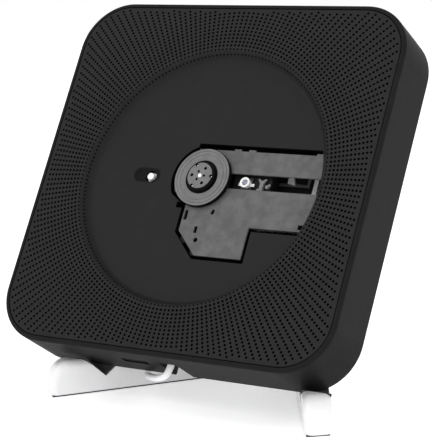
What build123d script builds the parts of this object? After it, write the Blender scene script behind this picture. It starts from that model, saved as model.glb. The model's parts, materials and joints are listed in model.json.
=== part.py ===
from build123d import *
import math
import os

os.makedirs("parts", exist_ok=True)

# A table-top CD player: a flat rounded-square body that leans back on a V-shaped stand.
# Row frame, in millimetres: +X to the player's right, +Y to the back, +Z up, with the origin
# on the table under the middle of the object's box.
# The player is drawn lying flat in its own frame and leaned back at the end: u (X) to the
# right, v (Y) up the front, w (Z) out of the front face, which is at w = 0.

# Player body
BODY = 180.0            # width and height of the body
DEPTH = 30.0            # front face to back face
CORNER_R = 25.0         # corner radius seen from the front
WALL = 2.2              # side wall thickness
FRONT_ROUND = 1.5       # rounding of the front outer edge
BACK_ROUND = 1.0
GAP = 0.4               # line between the front cover and the side wall
PANEL_T = 2.2           # front cover thickness under the perforated face
BACK_T = 2.0            # back cover thickness
LEAN = 30.0             # degrees that the body leans back from upright
LIFT = 12.0             # height of the body's lower back edge above the table
EDGE_Y = -37.29         # where that edge is along Y

# Disc recess, turntable and the deck opening
DISH_TOP_R = 66.0       # where the face starts to curve down
DISH_R = 61.2           # edge of the flat recess floor, for a 120 mm disc
DISH_FLOOR = -5.0
FLOOR_T = 1.8
PLATE_TOP = -6.0
PLATE_T = 1.0
OPENING_R = 17.6        # opening's arc around the turntable
TURNTABLE_R = 14.75
TURNTABLE_TOP = -2.9
TURNTABLE_T = 2.1
HUB_R = 7.375           # fits the 15 mm hole of a disc
HUB_GROOVE_R = 8.5        # dark groove round the hub
HUB_TOP = -0.9
BALL_AT_R = 6.0
SHAFT_R = 1.0
RUN_FIT = 0.05          # radial clearance of a running fit

# Pickup travel
LENS_U = 21.6           # lens position with the sled fully in
LENS_V = 0.3
SLED_TRAVEL = 35.5      # lens reaches the last track at 57 mm
ROD_Z = -13.0
ROD_V = (-12.5, 9.5)
ROD_R = 1.5
SLED_RIGHT = LENS_U + 12.5
ROD_END = SLED_RIGHT + SLED_TRAVEL + 4.4
SCREW_V = -20.0         # lead screw
CHASSIS_FLOOR = -19.4
CHASSIS_T = 1.6

# Electronics
BOARD_BACK = -12.1
BOARD_T = 1.6
USB_U = (-22.5, -8.2)
USB_W = (-17.0, -12.0)
BAY_U = (-1.4, 8.5)     # recess for the power plug, open at the bottom and back
BAY_W = -11.3
BAY_TOP = -66.0
BAY_WALL = 1.2
JACK_U = 3.5
JACK_W = -15.6

# Stand
STAND_X = 13.4          # middle of the stand
LEG_HALF = 67.8         # from the middle to each leg's inner front corner
LEG_FRONT_Y = -27.8     # that corner, from the body's lower back edge
LEG_ANGLE = 58.3        # degrees between a leg and X
LEG_TOP_W = 13.5        # leg thickness at the top
LEG_FOOT_W = 11.7       # and at the base
LEG_TOP = 16.9          # height of a leg behind its nose
LEG_END_ANGLE = 45.0    # degrees between a leg's front end and X
LEG_CORNER_R = 3.5      # rounding of the end's upright edges
LEG_REAR_Y = 100.0      # flat rear end, from the body's lower back edge
NOSE_R = 10.0
STRIP_T = 0.8           # rubber strip under each leg
LINER_T = 0.6           # rubber liner in each notch
BODY_CLEAR = 0.4        # rest gap between the body and what it leans on
POST_W = 14.0           # rear post that the body's back leans on
PAD_LOW, PAD_HIGH = 84.0, 102.0    # heights of the post's pad
PAD_T = 1.5
FOOT_SCREW_X, FOOT_SCREW_Y = 4.3, 88.0

# Power cord
CORD_D = 3.3
RELIEF_END = -85.0      # where the cord leaves the plug's relief, along v
COIL_X, COIL_Y = -46.0, 78.0       # from the body's lower back edge
COIL_MEAN_R = 19.0
COIL_ACROSS, COIL_LAYERS = 3, 4
COIL_TURNS = 11
COIL_LOW = 0.8          # the tie passes under the coil
COIL_LENGTH = COIL_TURNS * 2 * math.pi * COIL_MEAN_R

# Small repeated sizes
BUTTON_US = (-36.0, -18.0, 0.0, 18.0, 36.0)
BUTTON_NAMES = ("power_button", "previous_button", "play_button", "next_button", "volume_button")
BUTTON_W = -15.0
BUTTON_TRAVEL = 0.7
BUTTON_LOW = 86.0       # underside of a button's flange
SPEAKER_AT = 64.0       # speakers sit in the two upper corners
SCREW_R = 1.25
PILOT_R = 1.3
POST_R = 3.0
COVER_POSTS = ((-79, 24), (79, 24), (-79, -24), (79, -24))
DECK_POSTS = ((-16, 26), (50, 26), (-19, -33), (42, -35))
BOARD_POSTS = ((-45, -70), (45, -70), (-32, -52), (32, -52))

ON_BASE = (Align.CENTER, Align.CENTER, Align.MIN)
LEAN_BACK = Location((0, EDGE_Y, LIFT), (90 - LEAN, 0, 0)) * Location((0, BODY / 2, DEPTH))
ON_TABLE = Location((0, EDGE_Y, 0))


# ---- Simple solids ----

def block(x0, x1, y0, y1, z0, z1):
    """A box between two corners."""
    return Pos((x0 + x1) / 2, (y0 + y1) / 2, (z0 + z1) / 2) * Box(x1 - x0, y1 - y0, z1 - z0)


def rod_z(r, x, y, z0, z1):
    return Pos(x, y, z0) * Cylinder(r, z1 - z0, align=ON_BASE)


def rod_x(r, x0, x1, y, z):
    return Pos(x0, y, z) * Rot(0, 90, 0) * Cylinder(r, x1 - x0, align=ON_BASE)


def rod_y(r, x, z, y0, y1):
    return Pos(x, y0, z) * Rot(-90, 0, 0) * Cylinder(r, y1 - y0, align=ON_BASE)


def lathe(points, x=0.0, y=0.0):
    """A solid turned about an axis along Z, from (radius, height) points."""
    outline = Polyline(*[(r, 0, z) for r, z in points], close=True)
    return Pos(x, y, 0) * revolve(make_face(outline), Axis.Z)


def slab(size, radius, z0, z1):
    """A rounded-square plate."""
    return Pos(0, 0, z0) * extrude(RectangleRounded(size, size, radius), z1 - z0)


def obround(x, y, length, width, z0, z1):
    return Pos(x, y, z0) * extrude(SlotOverall(length, width), z1 - z0)


def prism(points, z0, z1):
    """A plate with a straight-sided outline."""
    outline = make_face(Polyline(*[(x, y, 0) for x, y in points], close=True))
    return Pos(0, 0, z0) * extrude(outline, z1 - z0)


def side_prism(points, x0, x1):
    """A solid of one (Y, Z) outline from x0 to x1."""
    outline = make_face(Polyline(*[(0, y, z) for y, z in points], close=True))
    return Pos(x0, 0, 0) * extrude(outline, x1 - x0, dir=(1, 0, 0))


def group(solids):
    return Compound(children=list(solids))


def screw(x, y, tip, seat, head_r=2.9, head_h=1.4):
    """A pan-head screw driven from behind, with a cross recess."""
    head = rod_z(head_r, x, y, seat - head_h, seat)
    head = fillet(head.edges().group_by(Axis.Z)[0], 0.5)
    for length, width in ((3.2, 0.6), (0.6, 3.2)):
        head -= Pos(x, y, seat - head_h) * Box(length, width, 1.2)
    return head + rod_z(SCREW_R, x, y, seat, tip)


# ---- Casing ----

def housing():
    """The side wall, with a ledge for the front cover and the openings in its walls."""
    outer = slab(BODY, CORNER_R, -DEPTH, 0)
    outer = fillet(outer.faces().sort_by(Axis.Z)[-1].edges(), FRONT_ROUND)
    outer = fillet(outer.faces().sort_by(Axis.Z)[0].edges(), BACK_ROUND)
    inside = BODY - 2 * WALL
    inside_r = CORNER_R - WALL
    shell = outer - slab(inside, inside_r, -DEPTH - 1, 1)
    ledge = slab(inside + 0.2, inside_r, -4.2, -PANEL_T) - slab(inside - 3.2, inside_r - 1.6, -5, 0)
    shell += ledge
    half = BODY / 2
    shell -= block(USB_U[0], USB_U[1], -half - 1, -half + WALL + 1, USB_W[0], USB_W[1])
    shell -= block(BAY_U[0], BAY_U[1], -half - 1, -half + WALL + 1, -DEPTH - 1, BAY_W)
    for u in BUTTON_US:
        hole = Pos(u, half - WALL - 1, BUTTON_W) * Rot(-90, 0, 0) * extrude(SlotOverall(10, 5), 5)
        shell -= hole
    for u in (-52.0, 52.0):
        shell += block(u - 1.5, u + 1.5, 78.4, half - WALL + 0.2, -18, -12)
    return shell


def deck_opening(inset, right_r, z0, z1):
    """The opening's outline, drawn in by inset, as a plate from z0 to z1."""
    arc_r = OPENING_R - inset
    start = math.radians(209)
    end = math.radians(114)
    left = -7.7 + inset
    low = -40.3 + inset
    notch_v = -24.5 + inset
    notch_u = 32.7 - inset
    cut = inset * 0.414
    first = (arc_r * math.cos(start), arc_r * math.sin(start))
    last = (arc_r * math.cos(end), arc_r * math.sin(end))
    top = 17.9 - inset
    edges = [
        ThreePointArc(first, (-arc_r, 0), last),
        Polyline(last, (last[0], top), (70, top), (70, notch_v), (notch_u, notch_v), (notch_u, low),
                 (5 + cut, low), (left, -27.6 + cut), (left, -13.6), first),
    ]
    plate = Pos(0, 0, z0) * extrude(make_face(edges), z1 - z0)
    return plate & rod_z(right_r, 0, 0, z0, z1)


def front_cover():
    """Face and disc recess in one moulding; the perforation is only in the face's finish."""
    face = slab(BODY - 2 * WALL - 2 * GAP, CORNER_R - WALL - GAP, -PANEL_T, 0)
    face = chamfer(face.faces().sort_by(Axis.Z)[-1].edges(), 0.3)
    face -= rod_z(69.5, 0, 0, -10, 10)
    under = DISH_FLOOR - FLOOR_T
    wall = Spline((DISH_TOP_R, 0, 0), (DISH_R, 0, DISH_FLOOR), tangents=[(-1, 0, 0), (-1, 0, 0)])
    rest = Polyline((DISH_R, 0, DISH_FLOOR), (0, 0, DISH_FLOOR), (0, 0, under), (63, 0, under),
                    (69, 0, -PANEL_T), (70, 0, -PANEL_T), (70, 0, 0), (DISH_TOP_R, 0, 0))
    cover = face + revolve(make_face([wall, rest]), Axis.Z)
    cover -= deck_opening(0, 61.6, under - 1, DISH_FLOOR + 1)
    cover -= block(-11, -7.4, -15.4, -12.4, under - 1, DISH_FLOOR + 1)
    cover -= obround(-32, 0, 15, 7.5, DISH_FLOOR - 0.5, 0)
    cover -= rod_z(3.0, -30, -0.5, under - 1, 0)
    for u, v in COVER_POSTS:
        cover += rod_z(POST_R, u, v, -DEPTH + BACK_T, -PANEL_T + 0.2)
        cover -= rod_z(PILOT_R, u, v, -DEPTH, -16)
    for u, v in DECK_POSTS:
        cover += rod_z(2.5, u, v, -18.0, under + 0.2)
        cover -= rod_z(PILOT_R, u, v, -19, -8)
    for u, v in BOARD_POSTS:
        cover += rod_z(2.5, u, v, BOARD_BACK + BOARD_T, -PANEL_T + 0.2 if abs(u) > 40 else under + 0.2)
        cover -= rod_z(PILOT_R, u, v, -15, -7.2)
    return cover


def grille_cloth():
    """Thin black cloth behind the perforation."""
    cloth = slab(170, 20, -PANEL_T - 0.3, -PANEL_T) - rod_z(71, 0, 0, -5, 0)
    for u, v in COVER_POSTS + BOARD_POSTS[:2]:
        cloth -= rod_z(POST_R + 0.2, u, v, -5, 0)
    return cloth


def back_cover():
    """Flat back with screw recesses, vents behind the speakers and the plug recess's mouth."""
    cover = slab(BODY - 2 * WALL - 0.4, CORNER_R - WALL - 0.2, -DEPTH, -DEPTH + BACK_T)
    for u, v in COVER_POSTS:
        cover -= rod_z(3.2, u, v, -DEPTH - 1, -DEPTH + 1.4)
        cover -= rod_z(1.6, u, v, -DEPTH - 1, 0)
    for side in (-1, 1):
        for row in range(6):
            v = SPEAKER_AT - 12.5 + 5 * row
            cover -= obround(side * SPEAKER_AT, v, 26, 2, -DEPTH - 1, 0)
    cover -= block(BAY_U[0], BAY_U[1], -BODY, BAY_TOP - 12, -DEPTH - 1, 0)
    return cover


def cover_screws():
    return group(screw(u, v, -18.5, -DEPTH + 1.4) for u, v in COVER_POSTS)


def cable_bay():
    """Walled recess that hides the power plug, open at the bottom and back."""
    outer = block(BAY_U[0] - BAY_WALL, BAY_U[1] + BAY_WALL, -BODY / 2 + WALL, BAY_TOP + BAY_WALL,
                  -DEPTH + BACK_T, BAY_W + BAY_WALL)
    bay = outer - block(BAY_U[0], BAY_U[1], -BODY, BAY_TOP, -DEPTH, BAY_W)
    return bay - rod_y(3.4, JACK_U, JACK_W, BAY_TOP - 1, BAY_TOP + 3)


# ---- Buttons on the top edge ----

def button(u):
    """A pill-shaped button that slides in the top wall, kept in by its flange."""
    top = BODY / 2 + 0.6
    cap = Pos(u, BUTTON_LOW, BUTTON_W) * Rot(-90, 0, 0) * extrude(SlotOverall(9.5, 4.5), top - BUTTON_LOW)
    cap = fillet(cap.faces().sort_by(Axis.Y)[-1].edges(), 0.4)
    flange = Pos(u, BUTTON_LOW, BUTTON_W) * Rot(-90, 0, 0) * extrude(SlotOverall(12, 7), 1.0)
    return cap + flange


def button_board():
    return block(-50.5, 50.5, 78.4, 80.0, -20, -10)


def tact_switches():
    switches = []
    for u in BUTTON_US:
        case = block(u - 3, u + 3, 80.0, 83.5, BUTTON_W - 3, BUTTON_W + 3)
        switches.append(case + rod_y(1.7, u, BUTTON_W, 83.5, BUTTON_LOW - BUTTON_TRAVEL - 0.2))
    return group(switches)


# ---- Speakers ----

def speaker_basket(u):
    """Pressed frame: a flange, a cone-shaped wall and a back plate."""
    profile = [(18, -2.7), (15.6, -2.7), (15.6, -4.0), (8.6, -11.0), (5, -11.0), (5, -12),
               (9.2, -12), (16.6, -4.4), (16.6, -3.9), (18, -3.9)]
    return lathe(profile, u, SPEAKER_AT)


def speaker_surrounds():
    """Rolled rubber edges between the cones and their frames."""
    rings = []
    for u in (-SPEAKER_AT, SPEAKER_AT):
        ring = Pos(u, SPEAKER_AT, -3.9) * (Torus(14.0, 1.3) - Torus(14.0, 0.8))
        rings.append(ring & rod_z(17, u, SPEAKER_AT, -3.9, -2))
    return group(rings)


def speaker_cone(u):
    """Paper cone with a round dust cap."""
    cone = lathe([(12.6, -3.7), (12.6, -4.1), (4.2, -8.4), (3.0, -8.4), (3.0, -8.0), (4.4, -8.0)],
                 u, SPEAKER_AT)
    return cone + Pos(u, SPEAKER_AT, -9.6) * (Sphere(5.2) - Sphere(4.8)) & rod_z(13, u, SPEAKER_AT, -8.4, 0)


def speaker_magnet(u):
    magnet = rod_z(10, u, SPEAKER_AT, -19, -12)
    return fillet(magnet.edges().group_by(Axis.Z)[0], 0.8) + rod_z(2.6, u, SPEAKER_AT, -12, -9)


# ---- Disc detector ----

def disc_switch():
    """Switch case under the recess floor, with a well for its pin."""
    under = DISH_FLOOR - FLOOR_T
    return block(-37, -23, -5, 4, -16, under) - rod_z(2.8, -30, -0.5, -13.2, 0)


def disc_switch_pin():
    return rod_z(1.7, -30, -0.5, -11.5, -5.3) + rod_z(2.5, -30, -0.5, -8.4, -7.6)


# ---- Deck ----

def deck_plate():
    """Sheet plate under the opening, slotted for the pickup."""
    bottom = PLATE_TOP - PLATE_T
    plate = Pos(-0.6, 0.5, 0) * deck_opening(1.8, 70, bottom, PLATE_TOP)
    plate &= block(-30, 70, -50, 15.5, -10, 0) & rod_z(61.3, 0, 0, -10, 0)
    for u, width in ((13.8, 3.6), (21.6, 3.6), (57.4, 3.2)):
        plate += block(u - width / 2, u + width / 2, 15.2, 16.4, CHASSIS_FLOOR, PLATE_TOP)
    plate -= block(13.2, 70, -3.6, 4.2, -10, 0)
    plate -= rod_z(4.2, 0, 0, -10, 0)
    plate -= block(-5.8, -4.0, -20.8, -15.8, -10, 0)
    plate -= block(1.5, 3.3, -27.0, -23.6, -10, 0)
    plate -= Pos(9.1, -15.9, -10) * Rot(0, 0, 75) * extrude(SlotOverall(2.8, 1.9), 20)
    plate -= rod_z(1.2, 3.9, -30.4, -10, 0)
    plate -= block(55.4, 62, -21.2, -18.8, -10, 0)
    return plate


def deck_chassis():
    """Moulded tray that carries the motors, guide rods and plate."""
    low = CHASSIS_FLOOR - CHASSIS_T
    tray = extrude(Pos(25, -4, low) * RectangleRounded(100, 78, 4), CHASSIS_T + 4.0)
    tray -= extrude(Pos(25, -4, CHASSIS_FLOOR) * RectangleRounded(96.4, 74.4, 2.4), 10)
    tray -= block(-26, -21, -5.6, 4.6, CHASSIS_FLOOR, 0)
    for u, v in DECK_POSTS:
        tray -= rod_z(3.3, u, v, -30, 0)
    for v in ROD_V:
        for u in (10.6, ROD_END - 1.6):
            pillar = block(u - 1.6, u + 1.6, v - 2.8, v + 2.8, CHASSIS_FLOOR - 0.2, ROD_Z + 2.8)
            tray += pillar - rod_x(ROD_R, u - 5, u + 5, v, ROD_Z)
    bearing = block(62, 65, SCREW_V - 3, SCREW_V + 3, CHASSIS_FLOOR - 0.2, ROD_Z + 3)
    tray += bearing - rod_x(0.8 + RUN_FIT, 60, 67, SCREW_V, ROD_Z)
    tray += block(-5, 7, SCREW_V - 5, SCREW_V + 5, CHASSIS_FLOOR - 0.2, ROD_Z - 4.6)
    for u, v in ((-3, -30), (4, -36), (26, -34)):
        tray += rod_z(2.0, u, v, CHASSIS_FLOOR - 0.2, PLATE_TOP - PLATE_T)
    tray += rod_z(7, 0, 0, CHASSIS_FLOOR - 0.2, -17)
    return tray


def deck_grommets():
    """Soft rubber bushes that isolate the chassis from the cover's posts."""
    low = CHASSIS_FLOOR - CHASSIS_T
    profile = [(1.6, -18), (4.0, -18), (4.0, CHASSIS_FLOOR), (3.3, CHASSIS_FLOOR), (3.3, low),
               (4.6, low), (4.6, low - 1.4), (1.6, low - 1.4)]
    return group(lathe(profile, u, v) for u, v in DECK_POSTS)


def deck_screws():
    seat = CHASSIS_FLOOR - CHASSIS_T - 1.4
    return group(screw(u, v, -9, seat, head_r=4.2) for u, v in DECK_POSTS)


def spindle_motor():
    """Flat motor can under the plate, with a bearing boss around the shaft."""
    top = PLATE_TOP - PLATE_T
    can = rod_z(11, 0, 0, -17, top)
    can = fillet(can.edges().group_by(Axis.Z)[0], 1.0)
    can += rod_z(3.0, 0, 0, top - 0.1, PLATE_TOP + 0.2)
    return can - rod_z(SHAFT_R + RUN_FIT, 0, 0, -16, 0)


def spindle_shaft():
    shaft = rod_z(SHAFT_R, 0, 0, -15.8, HUB_TOP + 0.1)
    return fillet(shaft.edges().group_by(Axis.Z)[-1], 0.3)


def hub_holes(r, first_angle):
    for step in range(3):
        angle = math.radians(first_angle + 120 * step)
        yield r * math.cos(angle), r * math.sin(angle)


def turntable():
    """Platform for the disc with its centring hub, pressed on the motor's shaft."""
    bottom = TURNTABLE_TOP - TURNTABLE_T
    profile = [(SHAFT_R, -5.6), (3.0, -5.6), (3.0, bottom), (TURNTABLE_R, bottom),
               (TURNTABLE_R, TURNTABLE_TOP - 0.3), (TURNTABLE_R - 0.3, TURNTABLE_TOP),
               (HUB_GROOVE_R, TURNTABLE_TOP), (HUB_GROOVE_R, TURNTABLE_TOP - 0.4),
               (HUB_R, TURNTABLE_TOP - 0.4), (HUB_R, HUB_TOP - 0.9), (HUB_R - 0.9, HUB_TOP),
               (SHAFT_R, HUB_TOP)]
    part = lathe(profile)
    for groove_r in (11.3, 13.1):
        part -= lathe([(groove_r, -2), (groove_r + 0.25, -2), (groove_r + 0.25, TURNTABLE_TOP - 0.15),
                       (groove_r, TURNTABLE_TOP - 0.15)])
    for r, angle, hole_r in ((2.3, 0, 0.65), (4.3, 60, 0.8), (BALL_AT_R, 0, 0.8)):
        for x, y in hub_holes(r, angle):
            part -= rod_z(hole_r, x, y, HUB_TOP - 1.8, 0)
    return part


def hub_balls():
    """Three small steel balls set in the hub's outer holes."""
    return group(Pos(x, y, HUB_TOP - 1.2) * Sphere(0.6) for x, y in hub_holes(BALL_AT_R, 0))


def pickup_sled():
    """Carriage that rides on the two rods, with the arm for the lead screw."""
    left = SLED_RIGHT - 20
    sled = block(left, SLED_RIGHT, -16, 13, -16.5, -9.6)
    sled = chamfer(sled.edges().filter_by(Axis.Z), 1.5)
    sled += block(left, left + 8, -23.2, -15, -16.0, -10.0)
    for v in ROD_V:
        sled -= rod_x(ROD_R + RUN_FIT, 0, 60, v, ROD_Z)
    sled -= rod_x(ROD_R + 0.1, 0, 60, SCREW_V, ROD_Z)
    sled -= block(LENS_U - 3.2, LENS_U + 3.2, LENS_V - 3.4, LENS_V + 3.4, -12.5, 0)
    return sled


def lens_holder():
    """Lens ring on its sprung carrier, in a well of the sled."""
    ring = rod_z(2.5, LENS_U, LENS_V, -8.6, -6.4) - rod_z(1.55, LENS_U, LENS_V, -9, 0)
    carrier = block(LENS_U - 2.8, LENS_U + 2.8, LENS_V - 3.0, LENS_V + 3.0, -11.4, -8.6)
    carrier += block(LENS_U - 4.2, LENS_U + 4.2, LENS_V - 1.2, LENS_V + 0.2, -9.1, -8.5)
    return ring + carrier


def lens():
    dome = Pos(LENS_U, LENS_V, -9.0) * Sphere(2.35)
    return dome & rod_z(1.5, LENS_U, LENS_V, -8.5, -5)


def magnet_yoke():
    """Bent metal bracket beside the lens, forked at its top."""
    u = LENS_U + 8.2
    stem = block(u - 0.9, u + 0.9, LENS_V - 2.4, LENS_V + 2.0, -9.6, -8.0)
    arms = prism([(u - 2.4, 3.0), (u - 1.2, 3.0), (u, 1.6), (u + 1.2, 3.0), (u + 2.4, 3.0),
                  (u + 0.8, 0.6), (u - 0.8, 0.6)], -8.6, -8.0)
    foot = block(u - 1.9, u + 0.9, LENS_V - 3.2, LENS_V - 2.2, -9.6, -8.0)
    return stem + arms + foot


def laser_diode():
    """Small round can and its trimmer on top of the sled."""
    u = LENS_U + 11.5
    return rod_z(0.9, u - 0.6, LENS_V - 0.8, -9.6, -8.6) + block(u - 0.2, u + 0.9, -0.2, 1.0, -9.6, -8.9)


def guide_rods():
    return group(rod_x(ROD_R, 9.0, ROD_END, v, ROD_Z) for v in ROD_V)


def lead_screw():
    """Threaded shaft that draws the sled along, drawn as close rings."""
    shaft = rod_x(0.8, -4, 64.6, SCREW_V, ROD_Z) + rod_x(1.2, 9, 61.5, SCREW_V, ROD_Z)
    for step in range(34):
        start = 10.0 + 1.5 * step
        shaft += rod_x(ROD_R, start, start + 0.8, SCREW_V, ROD_Z)
    return shaft


def sled_motor():
    motor = rod_x(4.6, -6, 8, SCREW_V, ROD_Z)
    motor = fillet(motor.edges().group_by(Axis.X)[0], 0.6)
    return motor - rod_x(0.8 + RUN_FIT, -4.4, 9, SCREW_V, ROD_Z)


def cross_brace():
    """Pale bar across the tray under the sled."""
    return block(51.2, 53.4, -9, 12, CHASSIS_FLOOR, -18.1)


def laser_flex():
    """Flat ribbon along the tray floor, from under the sled to the tray's edge."""
    strip = block(30, 48.6, 4.6, 6.0, CHASSIS_FLOOR, CHASSIS_FLOOR + 0.25)
    return strip + block(47.2, 48.6, 4.6, 20, CHASSIS_FLOOR, CHASSIS_FLOOR + 0.25)


def flex_clip():
    """White wedge-shaped clip that holds the ribbon down."""
    return prism([(37.6, 10.0), (37.6, 5.6), (41.8, 4.8), (39.8, 10.0)], CHASSIS_FLOOR + 0.25, CHASSIS_FLOOR + 1.9)


# ---- Electronics ----

def main_board():
    top = BOARD_BACK + BOARD_T
    board = block(-62, 62, -85, -48, BOARD_BACK, top)
    board -= block(BAY_U[0] - BAY_WALL - 0.5, BAY_U[1] + BAY_WALL + 0.5, -90, BAY_TOP + BAY_WALL + 0.5,
                   -20, 0)
    for u, v in BOARD_POSTS:
        board -= rod_z(1.5, u, v, -20, 0)
    return board


def board_screws():
    return group(screw(u, v, -8.4, BOARD_BACK, head_r=2.4, head_h=1.2) for u, v in BOARD_POSTS)


def main_chips():
    chips = []
    for u, v, size, height in ((-22, -60, 12, 1.6), (-45, -56, 8, 1.4), (48, -57, 7, 1.4), (18, -78, 6, 1.2)):
        chips.append(block(u - size / 2, u + size / 2, v - size / 2, v + size / 2,
                           BOARD_BACK - height, BOARD_BACK))
    return group(chips)


def capacitors():
    cans = []
    for u, v, r, height in ((22, -64, 4, 10), (31, -76, 4, 10), (-38, -80, 3, 8), (55, -72, 3, 8)):
        can = rod_z(r, u, v, BOARD_BACK - height, BOARD_BACK)
        cans.append(fillet(can.edges().group_by(Axis.Z)[0], 0.5))
    return group(cans)


def usb_socket():
    """Sheet shell and tongue of a USB-A socket, facing down out of the body."""
    u0, u1 = USB_U[0] + 0.25, USB_U[1] - 0.25
    w0, w1 = USB_W[0] + 0.1, USB_W[1] - 0.1
    shell = block(u0, u1, -89.2, -74, w0, w1) - block(u0 + 0.4, u1 - 0.4, -91, -75, w0 + 0.4, w1 - 0.4)
    return shell + block(u0 + 1.3, u1 - 1.3, -87.5, -74.5, w1 - 1.9, w1 - 0.3)


def dc_jack():
    """Barrel jack above the plug recess."""
    low = BAY_TOP + BAY_WALL
    case = block(JACK_U - 4.5, JACK_U + 4.5, low, -52, JACK_W - 4.4, BOARD_BACK)
    collar = rod_y(3.3, JACK_U, JACK_W, BAY_TOP, low + 0.2)
    bore = rod_y(2.8, JACK_U, JACK_W, BAY_TOP - 1, -55)
    return case + collar - bore + rod_y(0.9, JACK_U, JACK_W, -64, -54.8)


# ---- Stand ----

def notch_space(extra):
    """The space that the body's lower edge needs above the legs, widened by extra."""
    bottom_y = -3.0
    bottom_z = LIFT - 3.55 - extra * math.sqrt(2)
    reach = 40.0
    slope = math.tan(math.radians(LEAN))
    knee_y = bottom_y + 3.3 + extra * 1.1
    knee_z = bottom_z + (knee_y - bottom_y)
    outline = [(bottom_y, bottom_z), (knee_y, knee_z), (knee_y + reach * slope, knee_z + reach),
               (bottom_y - 20, knee_z + reach), (bottom_y - 20, bottom_z + 20)]
    return side_prism(outline, STAND_X - 110, STAND_X + 110)


def place_left(shape):
    """Takes a shape from a leg's own frame (along, outward, up) to the left side of the stand."""
    return Location((STAND_X - LEG_HALF, LEG_FRONT_Y, 0), (0, 0, LEG_ANGLE)) * shape


def mirrored(shape, side):
    """A left leg's piece, or its mirror image about the stand's middle."""
    if side < 0:
        return shape
    return mirror(shape, about=Plane(origin=(STAND_X, 0, 0), z_dir=(1, 0, 0)))


def leg_section(low, high, inset=0.0):
    """Tapered cross section between two heights, as a long prism along the leg."""
    taper = (LEG_TOP_W - LEG_FOOT_W) / 2 / LEG_TOP
    width_low = taper * (LEG_TOP - low) + inset
    width_high = taper * (LEG_TOP - high) + inset
    outline = [(width_low, low), (LEG_TOP_W - width_low, low), (LEG_TOP_W - width_high, high),
               (width_high, high)]
    return side_prism(outline, -5, 170)


def stand_leg_outline():
    top = LEG_TOP
    middle = NOSE_R * (1 - math.sqrt(0.5))
    arc = ThreePointArc((0, 0, top - NOSE_R), (middle, 0, top - middle), (NOSE_R, 0, top))
    sides = Polyline((NOSE_R, 0, top), (165, 0, top), (165, 0, STRIP_T), (0, 0, STRIP_T), (0, 0, top - NOSE_R))
    return make_face([arc, sides])


def beyond_middle(gap=0.0):
    """Everything past the stand's middle plane, where the two legs meet."""
    return block(STAND_X - gap, STAND_X + 200, -100, 200, -1, 60)


def behind_stand():
    return block(STAND_X - 60, STAND_X + 60, LEG_REAR_Y, LEG_REAR_Y + 60, -1, 60)


def stand_leg(side):
    """White leg with a notch for the body's lower edge, mitred against the other one."""
    skew = math.radians(LEG_ANGLE - LEG_END_ANGLE)
    bar = extrude(stand_leg_outline(), LEG_TOP_W / math.cos(skew), dir=(math.sin(skew), math.cos(skew), 0))
    bar &= leg_section(0, LEG_TOP)
    front = bar.faces().sort_by(Axis.X)[0]
    bar = fillet(front.edges().filter_by(lambda e: abs(e.tangent_at(0.5).Z) > 0.9), LEG_CORNER_R)
    leg = place_left(bar) - beyond_middle() - behind_stand() - notch_space(LINER_T)
    leg -= rod_z(1.6, STAND_X - FOOT_SCREW_X, FOOT_SCREW_Y, 0, 30)
    leg -= rod_z(3.2, STAND_X - FOOT_SCREW_X, FOOT_SCREW_Y, 0, 4.0)
    return mirrored(leg, side)


def base_strips():
    """Rubber strips under the legs."""
    near, far = 1.5, LEG_TOP_W - 1.5
    slant = (far - near) * math.tan(math.radians(LEG_ANGLE - LEG_END_ANGLE))
    sole = prism([(1.6, near), (165, near), (165, far), (1.6 + slant, far)], 0, STRIP_T)
    strip = place_left(sole) - beyond_middle(0.3) - behind_stand()
    strip -= rod_z(3.4, STAND_X - FOOT_SCREW_X, FOOT_SCREW_Y, -1, 5)
    return group(mirrored(strip, side) for side in (-1, 1))


def notch_liners():
    """Rubber liners in the legs' notches."""
    bar = leg_section(LIFT - 6, LEG_TOP, inset=0.4)
    ring = (notch_space(LINER_T) - notch_space(0.0)) & place_left(bar)
    return group(mirrored(ring, side) for side in (-1, 1))


def back_line(z, gap):
    """(Y, Z) point at height z, a gap behind the body's back face."""
    lean = math.radians(LEAN)
    return (z - LIFT) * math.tan(lean) + gap / math.cos(lean), z


def stand_post():
    """Strut that rises from where the legs meet to the body's back."""
    face_gap = BODY_CLEAR + PAD_T
    outline = [(83, LEG_TOP), back_line(PAD_LOW - 3, face_gap), back_line(PAD_HIGH + 2, face_gap),
               (60, PAD_HIGH + 3), (64, PAD_HIGH - 4), (96, LEG_TOP)]
    post = side_prism(outline, STAND_X - POST_W / 2, STAND_X + POST_W / 2)
    post = fillet(post.edges().filter_by(Axis.X).group_by(Axis.Z)[-1], 2.0)
    for side in (-1, 1):
        post -= rod_z(PILOT_R, STAND_X + side * FOOT_SCREW_X, FOOT_SCREW_Y, 0, 33)
    return post


def rest_pad():
    """Rubber pad on the post."""
    outline = [back_line(PAD_LOW, BODY_CLEAR), back_line(PAD_HIGH, BODY_CLEAR),
               back_line(PAD_HIGH - PAD_T / 2, BODY_CLEAR + PAD_T), back_line(PAD_LOW, BODY_CLEAR + PAD_T)]
    return side_prism(outline, STAND_X - 5.5, STAND_X + 5.5)


def stand_screws():
    return group(screw(STAND_X + side * FOOT_SCREW_X, FOOT_SCREW_Y, 30, 4.0) for side in (-1, 1))


# ---- Power cord ----

def in_row(u, v, w):
    """A point of the leaned-back body, before the shift to the row's origin."""
    lean = math.radians(LEAN)
    y = (v + BODY / 2) * math.sin(lean) - (w + DEPTH) * math.cos(lean)
    z = (v + BODY / 2) * math.cos(lean) + (w + DEPTH) * math.sin(lean)
    return u, y, z + LIFT


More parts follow.
